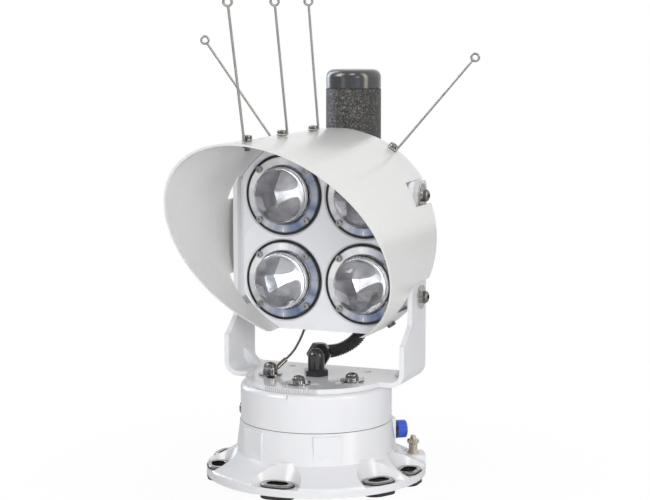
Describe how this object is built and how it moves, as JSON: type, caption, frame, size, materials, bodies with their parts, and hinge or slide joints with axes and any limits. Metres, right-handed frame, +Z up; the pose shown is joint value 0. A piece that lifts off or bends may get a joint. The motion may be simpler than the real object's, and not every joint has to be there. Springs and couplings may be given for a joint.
{
  "type": "range light",
  "caption": "LED range light head with a raked hood and bird spikes, tilting in a yoke on a round flanged base that turns for bearing.",
  "frame": {"origin": "centre of the base on the turning axis, at the underside of the insulating feet", "axes": "+Z up along the turning axis, the light shines along -Y"},
  "size_m": [0.2939, 0.3448, 0.4848],
  "materials": {
    "base_paint": "gloss white powder coat on cast aluminium",
    "hood_paint": "white orange-peel paint on sheet aluminium",
    "stainless": "bright",
    "black_rubber": "matt",
    "black_plastic": "matt",
    "blue_plastic": "gloss",
    "nickel_brass": "nickel plated",
    "board": "solder mask",
    "led_white": "white solder mask",
    "terminal_plastic": "matt",
    "bare_aluminium": "clear anodised",
    "lens_clear": "polished",
    "antenna_black": "crinkle"
  },
  "bodies": {
    "base": {"base_casting": "base_paint", "base_cover": "bare_aluminium", "base_gasket": "black_rubber", "joint_screws": "stainless", "drum_housing": "base_paint", "drum_seal": "black_rubber", "lower_bushes": "black_rubber", "upper_bushes": "black_rubber", "slot_washers": "stainless", "connector_collar": "black_plastic", "connector_cap": "blue_plastic", "vent_plug": "stainless", "earth_stud": "stainless", "earth_nut": "nickel_brass", "board_pillars": "black_plastic", "power_board": "board", "terminal_block": "terminal_plastic", "azimuth_bolts": "stainless", "azimuth_washers": "stainless", "azimuth_spring_washers": "stainless", "elbow_base": "black_plastic", "elbow_locknut": "black_plastic", "lanyard_eye": "stainless"},
    "yoke": {"yoke_bracket": "base_paint", "elbow_body": "black_plastic", "elbow_nut": "black_plastic", "conduit": "black_plastic", "lanyard": "stainless"},
    "head": {"front_plate": "hood_paint", "head_housing": "hood_paint", "side_plates": "hood_paint", "rear_cover": "hood_paint", "lens_gaskets": "black_rubber", "lens_rings": "bare_aluminium", "lenses": "lens_clear", "ring_screws": "stainless", "cell_cups": "bare_aluminium", "led_boards": "led_white", "heat_sink": "bare_aluminium", "tilt_pivot_bolts": "stainless", "tilt_lock_bolts": "stainless", "tilt_washers": "stainless", "tilt_spring_washers": "stainless", "hood": "hood_paint", "hood_screws": "stainless", "hood_nuts": "stainless", "cover_screws": "stainless", "bird_spikes": "stainless", "conduit_grommet": "black_plastic", "lanyard_anchor": "stainless", "antenna_tube": "antenna_black", "antenna_cap": "antenna_black", "antenna_board": "board", "antenna_shelf": "hood_paint", "shelf_screws": "stainless"}
  },
  "joints": [
    {"name": "azimuth", "type": "hinge", "parent": "base", "child": "yoke", "pos_m": [0, 0, 0], "axis": [0, 0, 1], "range_deg": [-20, 20], "deforming": ["lanyard"]},
    {"name": "tilt", "type": "hinge", "parent": "yoke", "child": "head", "pos_m": [0, 0.039, 0.1834], "axis": [1, 0, 0], "range_deg": [-2.5, 2.5], "deforming": ["conduit", "lanyard"]}
  ]
}
